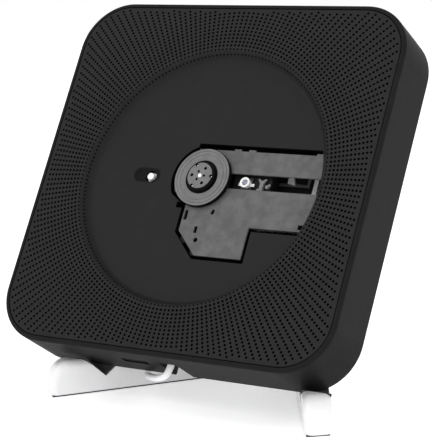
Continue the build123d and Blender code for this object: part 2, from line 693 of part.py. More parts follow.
CORD_ROUTE = [
    in_row(JACK_U, RELIEF_END, JACK_W),
    in_row(JACK_U, -92.0, JACK_W),
    (1.0, -14.6, 14.4),
    (-5.2, -11.4, 12.4),
    (-12.2, -5.2, 10.9),
    (-19.0, 1.2, 9.4),
    (-23.0, 9.8, 10.0),
    (-21.0, 20.0, 15.0),
    (-19.5, 29.0, 22.5),
    (-24.0, 38.0, 27.0),
    (-34.5, 44.5, 27.5),
    (-46.5, 47.5, 21.0),
    (-57.0, 50.0, 11.0),
    (-64.8, 57.0, 4.2),
    (-69.9, 67.7, 2.3),
]


def dc_plug():
    """Straight barrel plug: grip, ribbed relief and metal barrel in the jack."""
    grip = rod_y(4.0, JACK_U, JACK_W, -79.5, -67.2)
    grip = fillet(grip.edges(), 0.8)
    relief = rod_y(2.6, JACK_U, JACK_W, RELIEF_END, -79.5)
    barrel = rod_y(2.7, JACK_U, JACK_W, -67.3, -57) - rod_y(1.0, JACK_U, JACK_W, -65, -56)
    return grip + relief + barrel


def corner_radii(points):
    """The largest arc that each corner's two runs allow."""
    vectors = [Vector(*p) for p in points]
    radii = []
    for before, at, after in zip(vectors, vectors[1:], vectors[2:]):
        turn = math.radians((at - before).get_angle(after - at))
        shorter = min((at - before).length, (after - at).length)
        radii.append(0.45 * shorter / math.tan(turn / 2))
    return radii


def power_cord():
    """The cord's free stretch, from the plug over the left leg to the coil."""
    radii = corner_radii(CORD_ROUTE)
    path = FilletPolyline(*CORD_ROUTE, radius=radii)
    section = Plane(origin=path @ 0, z_dir=path % 0) * Circle(CORD_D / 2)
    tube = sweep(section, path=path)
    print("cord radii:", [round(r, 1) for r in radii])
    print("cord volume over section times length:", round(tube.volume / (section.area * path.length), 4))
    print("cord length:", round(path.length + COIL_LENGTH), "of which the coil", round(COIL_LENGTH))
    return tube


def cord_coil():
    """Outer shape of the tied coil behind the player."""
    half = COIL_ACROSS * CORD_D / 2
    high = COIL_LOW + COIL_LAYERS * CORD_D
    ring = rod_z(COIL_MEAN_R + half, COIL_X, COIL_Y, COIL_LOW, high)
    return ring - rod_z(COIL_MEAN_R - half, COIL_X, COIL_Y, -1, 40)


def cord_tie():
    """Strap round the coil's section."""
    half = COIL_ACROSS * CORD_D / 2
    high = COIL_LOW + COIL_LAYERS * CORD_D
    y = COIL_Y + COIL_MEAN_R
    band = block(COIL_X - 4, COIL_X + 4, y - half - 1.4, y + half + 0.9, COIL_LOW - 0.6, high + 0.6)
    return band - block(COIL_X - 9, COIL_X + 9, y - half - 0.8, y + half + 0.3, COIL_LOW, high)


def usb_plug():
    """Plug grip and metal shell, lying on the coil."""
    low = COIL_LOW + COIL_LAYERS * CORD_D
    x = COIL_X + COIL_MEAN_R
    grip = block(x - 5.5, x + 5.5, COIL_Y - 8, COIL_Y + 10, low, low + 7)
    grip = fillet(grip.edges().filter_by(Axis.Y), 2.0)
    shell = block(x - 6.0, x + 6.0, COIL_Y + 10, COIL_Y + 22, low + 1.2, low + 5.7)
    shell -= block(x - 5.6, x + 5.6, COIL_Y + 11, COIL_Y + 23, low + 1.6, low + 5.3)
    return grip + shell + block(x - 5.4, x + 5.4, COIL_Y + 10.5, COIL_Y + 21.5, low + 3.4, low + 5.3)


# ---- Sub-parts by node name ----

PLAYER = {
    "housing": housing,
    "front_cover": front_cover,
    "grille_cloth": grille_cloth,
    "back_cover": back_cover,
    "cover_screws": cover_screws,
    "cable_bay": cable_bay,
    "button_board": button_board,
    "tact_switches": tact_switches,
    "speaker_surrounds": speaker_surrounds,
    "disc_switch": disc_switch,
    "disc_switch_pin": disc_switch_pin,
    "deck_plate": deck_plate,
    "deck_chassis": deck_chassis,
    "deck_grommets": deck_grommets,
    "deck_screws": deck_screws,
    "spindle_motor": spindle_motor,
    "spindle_shaft": spindle_shaft,
    "turntable": turntable,
    "hub_balls": hub_balls,
    "pickup_sled": pickup_sled,
    "lens_holder": lens_holder,
    "lens": lens,
    "magnet_yoke": magnet_yoke,
    "laser_diode": laser_diode,
    "guide_rods": guide_rods,
    "lead_screw": lead_screw,
    "sled_motor": sled_motor,
    "cross_brace": cross_brace,
    "laser_flex": laser_flex,
    "flex_clip": flex_clip,
    "main_board": main_board,
    "board_screws": board_screws,
    "main_chips": main_chips,
    "capacitors": capacitors,
    "usb_socket": usb_socket,
    "dc_jack": dc_jack,
    "dc_plug": dc_plug,
}
STAND = {
    "base_strips": base_strips,
    "notch_liners": notch_liners,
    "stand_post": stand_post,
    "rest_pad": rest_pad,
    "stand_screws": stand_screws,
    "power_cord": power_cord,
    "cord_coil": cord_coil,
    "cord_tie": cord_tie,
    "usb_plug": usb_plug,
}


def all_nodes():
    """Every node's name with its finished shape in the row frame."""
    for name, make in PLAYER.items():
        yield name, LEAN_BACK * make()
    for name, u in zip(BUTTON_NAMES, BUTTON_US):
        yield name, LEAN_BACK * button(u)
    for side, word in ((-1, "left"), (1, "right")):
        u = side * SPEAKER_AT
        yield f"speaker_basket_{word}", LEAN_BACK * speaker_basket(u)
        yield f"speaker_cone_{word}", LEAN_BACK * speaker_cone(u)
        yield f"speaker_magnet_{word}", LEAN_BACK * speaker_magnet(u)
        yield f"stand_leg_{word}", ON_TABLE * stand_leg(side)
    for name, make in STAND.items():
        yield name, ON_TABLE * make()


for name, shape in all_nodes():
    export_step(shape, f"parts/{name}.step")
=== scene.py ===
"""Looks for a CD player that leans back on a V-shaped stand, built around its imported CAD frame."""

import json
import math

import bmesh
import bpy
from mathutils import Matrix, Vector
from mathutils.geometry import delaunay_2d_cdt


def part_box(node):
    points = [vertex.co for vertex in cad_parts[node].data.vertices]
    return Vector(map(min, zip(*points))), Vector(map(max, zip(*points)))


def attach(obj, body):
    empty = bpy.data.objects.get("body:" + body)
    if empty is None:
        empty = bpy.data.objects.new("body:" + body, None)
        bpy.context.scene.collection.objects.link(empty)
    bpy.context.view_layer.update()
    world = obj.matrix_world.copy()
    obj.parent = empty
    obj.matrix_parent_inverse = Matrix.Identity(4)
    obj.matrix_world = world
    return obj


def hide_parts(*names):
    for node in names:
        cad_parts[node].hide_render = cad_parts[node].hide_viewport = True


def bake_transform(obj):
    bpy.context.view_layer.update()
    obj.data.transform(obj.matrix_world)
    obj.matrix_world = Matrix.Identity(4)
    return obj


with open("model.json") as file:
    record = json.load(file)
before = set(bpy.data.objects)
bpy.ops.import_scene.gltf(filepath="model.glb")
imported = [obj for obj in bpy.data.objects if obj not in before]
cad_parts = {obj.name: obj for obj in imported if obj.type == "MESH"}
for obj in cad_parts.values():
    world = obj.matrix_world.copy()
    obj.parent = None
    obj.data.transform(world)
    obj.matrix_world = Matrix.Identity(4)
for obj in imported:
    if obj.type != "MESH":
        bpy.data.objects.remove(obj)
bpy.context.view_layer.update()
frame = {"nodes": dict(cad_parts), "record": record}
nodes = frame["nodes"]

# Sizes of the player's face, in millimetres of its own frame: u right, v up the face, w out of it
MM = 0.001
SLACK = 0.1                # how far past a limit a face may lie and still be told apart by it
BODY = 180.0
DEPTH = 30.0
PANEL_HALF = 87.4          # half the front cover's width
PANEL_R = 22.4             # its corner radius
EDGE_ROUND = 0.3
PANEL_T = 2.2
DISH_TOP_R = 66.0          # the face curves down from here
DISH_R = 61.2              # to the recess floor here
DISH_FLOOR = -5.0
DISH_UNDER = -6.8
UNDER_R = 69.0             # where the cover's underside starts to follow the recess
PIN_U, PIN_V, PIN_HOLE_R = -30.0, -0.5, 3.0
PIN_HOLE_SIDES = 32
PIN_INSIDE = 0.98          # share of that radius that counts as inside the hole
DENT_U, DENT_LENGTH, DENT_WIDTH, DENT_DEPTH = -32.0, 15.0, 7.5, 0.8
DENT_SLOPE = 2.5           # width of the dent's soft edge
SLIT = [(-11.0, -15.4), (-7.4, -15.4), (-7.4, -12.4), (-11.0, -12.4)]

# The opening in the recess floor: an arc round the turntable, then straight sides, out to a circle
OPENING_R = 17.6
OPENING_ARC = (209.0, 114.0)     # from its lower to its upper end, in degrees
OPENING_ARC_STEPS = 24
OPENING_LIMIT_R = 61.6
OPENING_TOP = 17.9
OPENING_NOTCH = (32.7, -24.5)
OPENING_LOW = -40.3
OPENING_LOW_LEFT = [(5.0, -40.3), (-7.7, -27.6), (-7.7, -13.6)]

# The perforation: straight rays of small holes in evenly spaced rings.
RAYS = 200
RING_STEP = 1.934
FIRST_RING_R = 63.916
HOLE_R = 0.64
SHOULDER_HOLE_RS = (0.36, 0.48)
HOLE_SIDES = 10
SHOULDER_HOLE_SIDES = 8
HOLE_LIMIT_HALF, HOLE_LIMIT_R = 86.0, 20.6
SAME_HOLE = 0.95           # share of a hole's radius that counts as inside it

# Radii where the cover's mesh has a ring of points, to follow the recess's rounded wall
WALL_LOOP_RS = (61.2, 61.9, 62.4, 62.95)
WALL_POINT_RS = (63.3, 63.6, 63.92, 64.3, 64.6, 65.2, 65.5, 65.85, 66.2)
FINE_WALL_POINT_RS = (64.88, 66.82)
EDGE_STEPS = (0.0, 0.1, 0.4, 1.0)      # shares of the outer rounding
DENT_STEPS = (0.0, 0.8, 1.6, 2.4)      # insets down the dent's slope
# The cover's looks; the wall and dent looks are near-black painted shade
COVER_LOOKS = ("face", "dish", "hole", "dent_painted_shade")

# Hub and turntable
HUB_R = 7.375
HUB_GROOVE_R = 8.5
TURNTABLE_TOP = -2.9
HUB_MOUNT_W = -2.5         # where the hub's mount is, along w
LENS_RING_W = -8.55        # the lens's ring stands higher than this
FLAT_NORMAL = 0.9          # a face whose normal rises more than this is flat
# Material slots on the turntable; the side slot holds painted shade
HUB_PAINTED_SHADE_LOOK, HUB_TOP_LOOK = 1, 2

# Power cord
CORD_D = 3.3
COIL_ACROSS, COIL_TURNS = 3, 11
COIL_MEAN_R = 19.0
TURN_POINTS = 16
STEP_FROM = 0.7            # share of a turn after which the coil steps to its next place
USB_GRIP_LENGTH = 18.0

# Camera: its place in the face's frame, its turns in degrees, its lens and its shift
CAMERA_PLACE = (428.75, -255.5, 646.9)
CAMERA_YAW, CAMERA_PITCH, CAMERA_ROLL = 32.29, 9.83, -0.55
CAMERA_LENS, CAMERA_SENSOR = 142.2, 36.0
CAMERA_SHIFT = (0.0619, 0.0794)

# Lamps: place, width and power; both look at one point
LAMPS = {"key": ((-0.5, -0.9, 1.1), 0.7, 3.0), "fill": ((1.2, -0.5, 0.6), 0.6, 1.5)}
LAMP_TARGET = (0.0, 0.0, 0.08)
FLOOR_HALF = 3.0

# The colour inputs and output of a Mix node, which has one set for each data type
MIX_A, MIX_B, MIX_RESULT = 6, 7, 2


# ---- The face's own frame ----

def face_frame():
    """The matrix that takes the face's frame, in metres, to the row frame, from the hub's mount."""
    hub = next(m for m in frame["record"]["mounts"] if m["name"] == "disc_hub")
    out = Vector(hub["axis"]).normalized()
    right = Vector((1, 0, 0))
    up = out.cross(right)
    origin = Vector(hub["pos_m"]) - out * HUB_MOUNT_W * MM
    turn = Matrix((right, up, out)).transposed().to_4x4()
    return Matrix.Translation(origin) @ turn


FACE = face_frame()


def on_face(u, v, w):
    """A point of the face's frame, in millimetres, as a row point in metres."""
    return FACE @ (Vector((u, v, w)) * MM)


# ---- Camera, light and floor ----

def look_from(place, yaw, pitch, roll):
    """A camera matrix: yaw about the vertical, pitch down and roll about the line of sight."""
    return (Matrix.Translation(place) @ Matrix.Rotation(math.radians(yaw), 4, "Z")
            @ Matrix.Rotation(math.radians(90 - pitch), 4, "X")
            @ Matrix.Rotation(math.radians(roll), 4, "Z"))


def add_camera():
    """The main view's camera."""
    data = bpy.data.cameras.new("camera")
    camera = bpy.data.objects.new("camera", data)
    bpy.context.scene.collection.objects.link(camera)
    camera.matrix_world = look_from(on_face(*CAMERA_PLACE), CAMERA_YAW, CAMERA_PITCH, CAMERA_ROLL)
    data.sensor_width = CAMERA_SENSOR
    data.lens = CAMERA_LENS
    data.shift_x, data.shift_y = CAMERA_SHIFT
    data.clip_start = 0.01
    bpy.context.scene.camera = camera


def add_softbox(name, place, size, power):
    """A round area lamp that faces the object."""
    light = bpy.data.lights.new(name, "AREA")
    light.shape = "DISK"
    light.size = size
    light.energy = power
    lamp = bpy.data.objects.new(name, light)
    bpy.context.scene.collection.objects.link(lamp)
    lamp.location = place
    lamp.rotation_euler = (Vector(LAMP_TARGET) - Vector(place)).to_track_quat("-Z", "Y").to_euler()


def add_studio():
    """White surroundings, two lamps and the floor."""
    world = bpy.data.worlds.new("studio")
    world.use_nodes = True
    background = world.node_tree.nodes["Background"]
    background.inputs["Color"].default_value = (1.0, 1.0, 1.0, 1.0)
    background.inputs["Strength"].default_value = 1.0
    bpy.context.scene.world = world
    bpy.context.scene.view_settings.view_transform = "Standard"
    for name, (place, size, power) in LAMPS.items():
        add_softbox(name, place, size, power)
    add_floor()


def add_floor():
    """A large white sheet that glows a little, so that it stays near the white behind it."""
    half = FLOOR_HALF
    corners = [(-half, -half, 0), (half, -half, 0), (half, half, 0), (-half, half, 0)]
    mesh = bpy.data.meshes.new("floor")
    mesh.from_pydata(corners, [], [(0, 1, 2, 3)])
    floor = bpy.data.objects.new("floor", mesh)
    bpy.context.scene.collection.objects.link(floor)
    mesh.materials.append(paint("floor_white", (0.93, 0.93, 0.93), 0.9, Emission_Color=(1.0, 1.0, 1.0, 1.0),
                                Emission_Strength=0.4))


# ---- Materials ----

def paint(name, colour, roughness, metallic=0.0, **sockets):
    """A plain Principled material; sockets name further inputs of the shader."""
    material = bpy.data.materials.new(name)
    material.use_nodes = True
    shader = material.node_tree.nodes["Principled BSDF"]
    shader.inputs["Base Color"].default_value = (*colour, 1.0)
    shader.inputs["Roughness"].default_value = roughness
    shader.inputs["Metallic"].default_value = metallic
    for socket, value in sockets.items():
        shader.inputs[socket.replace("_", " ")].default_value = value
    return material


def coordinates(material):
    """Object coordinates."""
    return material.node_tree.nodes.new("ShaderNodeTexCoord").outputs["Object"]


def noise(material, scale, detail=3.0, rough=0.55, stretch=None):
    """Noise in object space; stretch scales its three axes, and the size of a blotch is about 1 / scale."""
    tree = material.node_tree
    texture = tree.nodes.new("ShaderNodeTexNoise")
    texture.inputs["Scale"].default_value = scale
    texture.inputs["Detail"].default_value = detail
    texture.inputs["Roughness"].default_value = rough
    source = coordinates(material)
    if stretch:
        mapping = tree.nodes.new("ShaderNodeMapping")
        mapping.inputs["Scale"].default_value = stretch
        tree.links.new(source, mapping.inputs["Vector"])
        source = mapping.outputs["Vector"]
    tree.links.new(source, texture.inputs["Vector"])
    return texture.outputs["Fac"]


def spread(material, value, low, high, start=0.35, end=0.65):
    """Maps a noise value to the range from low to high."""
    node = material.node_tree.nodes.new("ShaderNodeMapRange")
    node.inputs["From Min"].default_value = start
    node.inputs["From Max"].default_value = end
    node.inputs["To Min"].default_value = low
    node.inputs["To Max"].default_value = high
    material.node_tree.links.new(value, node.inputs["Value"])
    return node.outputs["Result"]


def vary_colour(material, factor, dark, light):
    """Blends the base colour between two by factor."""
    tree = material.node_tree
    mix = tree.nodes.new("ShaderNodeMix")
    mix.data_type = "RGBA"
    mix.inputs[MIX_A].default_value = (*dark, 1.0)
    mix.inputs[MIX_B].default_value = (*light, 1.0)
    tree.links.new(factor, mix.inputs[0])
    tree.links.new(mix.outputs[MIX_RESULT], tree.nodes["Principled BSDF"].inputs["Base Color"])


def vary_roughness(material, factor):
    """Lets factor be the roughness."""
    material.node_tree.links.new(factor, material.node_tree.nodes["Principled BSDF"].inputs["Roughness"])


def emboss(material, height, distance):
    """Bump from a height value, distance in metres."""
    tree = material.node_tree
    bump = tree.nodes.new("ShaderNodeBump")
    bump.inputs["Distance"].default_value = distance
    bump.inputs["Strength"].default_value = 1.0
    tree.links.new(height, bump.inputs["Height"])
    tree.links.new(bump.outputs["Normal"], tree.nodes["Principled BSDF"].inputs["Normal"])


def moulded(name, dark, light, roughness, grain=3500, depth=0.00002, blotch=160, **sockets):
    """Moulded plastic: slow colour drift, uneven gloss and a fine spark-eroded grain."""
    material = paint(name, light, roughness, **sockets)
    vary_colour(material, spread(material, noise(material, blotch), 0, 1), dark, light)
    gloss = noise(material, grain * 0.4)
    vary_roughness(material, spread(material, gloss, roughness - 0.05, roughness + 0.05))
    emboss(material, noise(material, grain, 4.0), depth)
    return material


def metal(name, colour, roughness, stretch=(1, 1, 1), scale=900, **sockets):
    """Metal with fine marks; stretch draws them out into a brushed grain."""
    material = paint(name, colour, roughness, 1.0, **sockets)
    marks = noise(material, scale, 5.0, 0.6, stretch)
    vary_roughness(material, spread(material, marks, roughness - 0.08, roughness + 0.1))
    dark = [c * 0.8 for c in colour]
    vary_colour(material, spread(material, noise(material, scale * 0.3), 0, 1), dark, colour)
    emboss(material, marks, 0.000008)
    return material


def woven(name, dark, light, thread):
    """Plain weave: two crossed waves, thread metres apart, for cloth and straps."""
    material = paint(name, light, 0.9, Sheen_Weight=0.3, Sheen_Roughness=0.5)
    tree = material.node_tree
    waves = []
    for axis in ("X", "Y"):
        wave = tree.nodes.new("ShaderNodeTexWave")
        wave.bands_direction = axis
        wave.inputs["Scale"].default_value = 0.314 / thread
        wave.inputs["Distortion"].default_value = 0.4
        tree.links.new(coordinates(material), wave.inputs["Vector"])
        waves.append(wave.outputs["Fac"])
    product = tree.nodes.new("ShaderNodeMath")
    product.operation = "MAXIMUM"
    tree.links.new(waves[0], product.inputs[0])
    tree.links.new(waves[1], product.inputs[1])
    vary_colour(material, product.outputs[0], dark, light)
    emboss(material, product.outputs[0], 0.0001)
    return material


def grey(value):
    """A nearly neutral colour."""
    return (value, value, value * 1.01)


def make_blacks():
    """The player's black plastics, cloth and rubber, with a near-black painted shade for the cover's walls
    and dent.
    """
    return {
        "case": moulded("case", grey(0.0095), grey(0.0112), 0.55, depth=0.000012, Specular_IOR_Level=0.06),
        "face": moulded("face", grey(0.0125), grey(0.0145), 0.5, depth=0.000012, Specular_IOR_Level=0.11),
        "dish": moulded("dish", grey(0.0115), grey(0.013), 0.5, depth=0.00001, Specular_IOR_Level=0.11),
        # Painted shade: the dent is darker than the face to stand in for its shade
        "dent_painted_shade": moulded("dent_painted_shade", grey(0.006), grey(0.008), 0.5, Specular_IOR_Level=0.06),
        # Painted shade: near-black walls for holes, openings and the cover's edge, darker than their
        # plastic
        "hole": paint("hole", grey(0.003), 0.9, Specular_IOR_Level=0.05),
        "back": moulded("back", grey(0.017), grey(0.021), 0.6, grain=2200, depth=0.00004,
                        Specular_IOR_Level=0.15),
        "dark_plastic": moulded("dark_plastic", grey(0.008), grey(0.011), 0.5, Specular_IOR_Level=0.12),
        "carrier": moulded("carrier", grey(0.030), grey(0.045), 0.5, Specular_IOR_Level=0.2),
        "socket": moulded("socket", grey(0.030), grey(0.045), 0.45, Specular_IOR_Level=0.3),
        # Partly painted shade: the notch liners are real parts, but their dark tone also stands in for the
        # shade in the notch under the body
        "liner_and_painted_shade": moulded("liner_and_painted_shade", grey(0.035), grey(0.05), 0.8, grain=1800, depth=0.00004),
        "rubber": moulded("rubber", grey(0.012), grey(0.018), 0.8, grain=1800, depth=0.00004),
        "cloth": woven("cloth", grey(0.003), grey(0.010), 0.0006),
        "strap": woven("strap", grey(0.008), grey(0.022), 0.0008),
    }


def make_greys():
    """The deck's grey plate, turntable and pickup, with a near-black painted shade for the turntable's
    sides.
    """
    return {
        "deck": moulded("deck", grey(0.085), grey(0.118), 0.6, grain=1500, depth=0.00003, blotch=180,
                        Specular_IOR_Level=0.25),
        "turntable": moulded("turntable", grey(0.135), grey(0.162), 0.55, grain=1800, depth=0.00002,
                             blotch=220, Specular_IOR_Level=0.25),
        "hub_top": moulded("hub_top", grey(0.135), grey(0.165), 0.6, grain=1400, depth=0.00004, blotch=260,
                           Specular_IOR_Level=0.25),
        # Painted shade: near-black for the turntable's side walls and groove, not the part's own colour
        "hub_side_painted_shade": moulded("hub_side_painted_shade", grey(0.003), grey(0.004), 0.6, Specular_IOR_Level=0.06),
        "diode": moulded("diode", grey(0.15), grey(0.20), 0.5, blotch=300, Specular_IOR_Level=0.3),
        "yoke": moulded("yoke", grey(0.13), grey(0.18), 0.55, blotch=300, Specular_IOR_Level=0.3),
        "ribbon": moulded("ribbon", grey(0.10), grey(0.14), 0.4),
    }


def make_whites():
    """Stand, cord, the deck's white pieces, and a pale brace that is a painted highlight."""
    return {
        "white": moulded("white", grey(0.78), grey(0.82), 0.32, grain=2500, depth=0.000006, blotch=60,
                         Coat_Weight=0.25, Coat_Roughness=0.15),
        "cord": moulded("cord", grey(0.86), grey(0.90), 0.42, grain=1500, depth=0.000015, blotch=90),
        "white_pin": moulded("white_pin", grey(0.75), grey(0.85), 0.4),
        "lens_ring": moulded("lens_ring", grey(0.70), grey(0.85), 0.4),
        # Painted highlight: the cross brace is pale to stand in for a bright lip at the end of the pickup's
        # slot
        "brace_painted_highlight": moulded("brace_painted_highlight", grey(0.84), grey(0.90), 0.5, grain=1500, blotch=300),
    }


def make_metals():
    """Bare and plated metal."""
    return {
        "steel": metal("steel", (0.78, 0.78, 0.78), 0.28, stretch=(1, 8, 8)),
        "rod": metal("rod", (0.20, 0.20, 0.20), 0.5, stretch=(1, 8, 8)),
        "zinc": metal("zinc", (0.62, 0.62, 0.60), 0.38),
        "motor": metal("motor", (0.55, 0.55, 0.54), 0.35),
        "plated": metal("plated", (0.70, 0.70, 0.70), 0.25),
        "magnet": metal("magnet", (0.16, 0.16, 0.17), 0.5),
    }


def make_inner():
    """Lens, circuit boards and speakers."""
    return {
        "lens": paint("lens", (0.20, 0.20, 0.26), 0.08, Coat_Weight=1.0, Coat_Roughness=0.03),
        "board": moulded("board", (0.010, 0.050, 0.022), (0.014, 0.075, 0.032), 0.3, blotch=900),
        "chip": moulded("chip", grey(0.014), grey(0.020), 0.55, grain=3000),
        "sleeve": moulded("sleeve", (0.02, 0.025, 0.06), (0.025, 0.03, 0.08), 0.25),
        "basket": moulded("basket", grey(0.015), grey(0.022), 0.4, grain=2600),
        "paper": moulded("paper", grey(0.025), grey(0.045), 0.9, grain=900, depth=0.0001),
    }


def make_materials():
    """Every material by name."""
    return {**make_blacks(), **make_greys(), **make_whites(), **make_metals(), **make_inner()}


# Which material each CAD node gets
NODE_MATERIALS = {
    "case": ("housing", "power_button", "previous_button", "play_button", "next_button", "volume_button"),
    "back": ("back_cover", "cable_bay"),
    "cloth": ("grille_cloth",),
    "zinc": ("cover_screws", "board_screws", "deck_screws", "stand_screws"),
    "board": ("button_board", "main_board"),
    "dark_plastic": ("tact_switches", "disc_switch", "deck_chassis", "pickup_sled", "dc_jack"),
    "white_pin": ("disc_switch_pin", "flex_clip"),
    "deck": ("deck_plate",),
    "rubber": ("deck_grommets", "speaker_surrounds", "base_strips", "rest_pad"),
    "liner_and_painted_shade": ("notch_liners",),
    "motor": ("spindle_motor", "sled_motor"),
    "steel": ("spindle_shaft", "hub_balls"),
    "rod": ("guide_rods", "lead_screw"),
    "turntable": ("turntable",),
    "carrier": ("lens_holder",),
    "lens": ("lens",),
    "yoke": ("magnet_yoke",),
    "diode": ("laser_diode",),
    # The cross brace's pale colour is a painted highlight
    "brace_painted_highlight": ("cross_brace",),
    "ribbon": ("laser_flex",),
    "chip": ("main_chips",),
    "sleeve": ("capacitors",),
    "socket": ("usb_socket",),
    "basket": ("speaker_basket_left", "speaker_basket_right"),
    "paper": ("speaker_cone_left", "speaker_cone_right"),
    "magnet": ("speaker_magnet_left", "speaker_magnet_right"),
    "white": ("stand_leg_left", "stand_leg_right", "stand_post"),
    "strap": ("cord_tie",),
}


def finish_nodes(materials):
    """Gives each CAD node its material."""
    for name, members in NODE_MATERIALS.items():
        for member in members:
            mesh = nodes[member].data
            mesh.materials.clear()
            mesh.materials.append(materials[name])


def finish_turntable(materials):
    """Painted shade: the hub wall, groove and platform rim get a near-black material for their shade; the
    hub top gets a rougher one.
    """
    mesh = nodes["turntable"].data
    mesh.materials.append(materials["hub_side_painted_shade"])
    mesh.materials.append(materials["hub_top"])
    to_face = FACE.inverted()
    for polygon in mesh.polygons:
        centre = to_face @ polygon.center / MM
        r = math.hypot(centre.x, centre.y)
        flat = (to_face.to_3x3() @ polygon.normal).z > FLAT_NORMAL
        if r < HUB_R - 0.02 and centre.z > TURNTABLE_TOP + SLACK:
            polygon.material_index = HUB_TOP_LOOK if flat else HUB_PAINTED_SHADE_LOOK
        elif not flat or (r < HUB_GROOVE_R and centre.z < TURNTABLE_TOP - SLACK):
            polygon.material_index = HUB_PAINTED_SHADE_LOOK


def finish_lens_holder(materials):
    """The ring round the lens is whitish, the carrier under it dark."""
    mesh = nodes["lens_holder"].data
    mesh.materials.append(materials["lens_ring"])
    to_face = FACE.inverted()
    for polygon in mesh.polygons:
        if (to_face @ polygon.center / MM).z > LENS_RING_W:
            polygon.material_index = 1


# ---- The perforated front cover ----

def smooth(t):
    """Eases from 0 to 1."""
    t = min(1.0, max(0.0, t))
    return t * t * (3 - 2 * t)


def inside_distance(x, y, half, corner):
    """How far (x, y) is inside a rounded square; negative outside."""
    dx = abs(x) - half + corner
    dy = abs(y) - half + corner
    return corner - math.hypot(max(dx, 0), max(dy, 0)) - min(max(dx, dy), 0)


def dent_distance(x, y):
    """How far (x, y) is inside the oblong dent round the disc detector."""
    straight = (DENT_LENGTH - DENT_WIDTH) / 2
    along = max(abs(x - DENT_U) - straight, 0)
    return DENT_WIDTH / 2 - math.hypot(along, y)


def front_height(x, y):
    """Height of the visible surface."""
    w = DISH_FLOOR * smooth((DISH_TOP_R - math.hypot(x, y)) / (DISH_TOP_R - DISH_R))
    w -= DENT_DEPTH * smooth(dent_distance(x, y) / DENT_SLOPE)
    edge = inside_distance(x, y, PANEL_HALF, PANEL_R)
    if edge < EDGE_ROUND:
        w -= EDGE_ROUND - math.sqrt(max(0, EDGE_ROUND ** 2 - (EDGE_ROUND - edge) ** 2))
    return w


def under_height(x, y):
    """Height of the cover's underside."""
    t = smooth((UNDER_R - math.hypot(x, y)) / (UNDER_R - DISH_R))
    return -PANEL_T + (DISH_UNDER + PANEL_T) * t


def circle(x, y, r, sides, first=0.0):
    """Outline of a circle, from the angle first."""
    turns = [first + 2 * math.pi * i / sides for i in range(sides)]
    return [(x + r * math.cos(a), y + r * math.sin(a)) for a in turns]


def rounded_square(half, corner, per_corner=12, per_side=24):
    """Outline of a rounded square, anticlockwise."""
    straight = half - corner
    points = []
    for quarter in range(4):
        a0 = quarter * math.pi / 2
        cx = straight * (1 if quarter in (0, 3) else -1)
        cy = straight * (1 if quarter in (0, 1) else -1)
        for i in range(per_corner + 1):
            a = a0 + i * math.pi / 2 / per_corner
            points.append((cx + corner * math.cos(a), cy + corner * math.sin(a)))
        x, y = points[-1]
        along = (-math.sin(a0 + math.pi / 2), math.cos(a0 + math.pi / 2))
        for i in range(1, per_side):
            s = 2 * straight * i / per_side
            points.append((x + along[0] * s, y + along[1] * s))
    return points


def obround(x, y, length, width, sides=12):
    """Outline of an oblong with round ends."""
    straight = (length - width) / 2
    points = []
    for end, start in ((1, -math.pi / 2), (-1, math.pi / 2)):
        for i in range(sides + 1):
            a = start + math.pi * i / sides
            points.append((x + end * straight + width / 2 * math.cos(a), y + width / 2 * math.sin(a)))
    return points


def deck_opening():
    """Outline of the opening in the recess floor."""
    notch_u, notch_v = OPENING_NOTCH
    start, end = (math.radians(a) for a in OPENING_ARC)
    first = math.asin(OPENING_TOP / OPENING_LIMIT_R)
    last = math.asin(notch_v / OPENING_LIMIT_R)
    points = arc(OPENING_R, start, end, OPENING_ARC_STEPS)
    points.append((points[-1][0], OPENING_TOP))
    points += arc(OPENING_LIMIT_R, first, last, OPENING_ARC_STEPS)
    return points + [OPENING_NOTCH, (notch_u, OPENING_LOW)] + OPENING_LOW_LEFT


def arc(r, start, end, steps):
    """Points of an arc about the hub."""
    turns = [start + (end - start) * i / steps for i in range(steps + 1)]
    return [(r * math.cos(a), r * math.sin(a)) for a in turns]


def inside_polygon(x, y, polygon):
    """True where (x, y) is inside a closed outline."""
    inside = False
    for (x0, y0), (x1, y1) in zip(polygon, polygon[1:] + polygon[:1]):
        if (y0 > y) != (y1 > y) and x < x0 + (y - y0) * (x1 - x0) / (y1 - y0):
            inside = not inside
    return inside


def hole_radius(ring):
    """Radius of the holes of a ring; the first rings are on the recess's shoulder."""
    return SHOULDER_HOLE_RS[ring] if ring < len(SHOULDER_HOLE_RS) else HOLE_R


def perforation():
    """(ring, ray, x, y) of every hole."""
    ring = 0
    while FIRST_RING_R + ring * RING_STEP < HOLE_LIMIT_HALF * math.sqrt(2):
        r = FIRST_RING_R + ring * RING_STEP
        for ray in range(RAYS):
            a = 2 * math.pi * ray / RAYS
            x, y = r * math.cos(a), r * math.sin(a)
            if inside_distance(x, y, HOLE_LIMIT_HALF, HOLE_LIMIT_R) > 0:
                yield ring, ray, x, y
        ring += 1


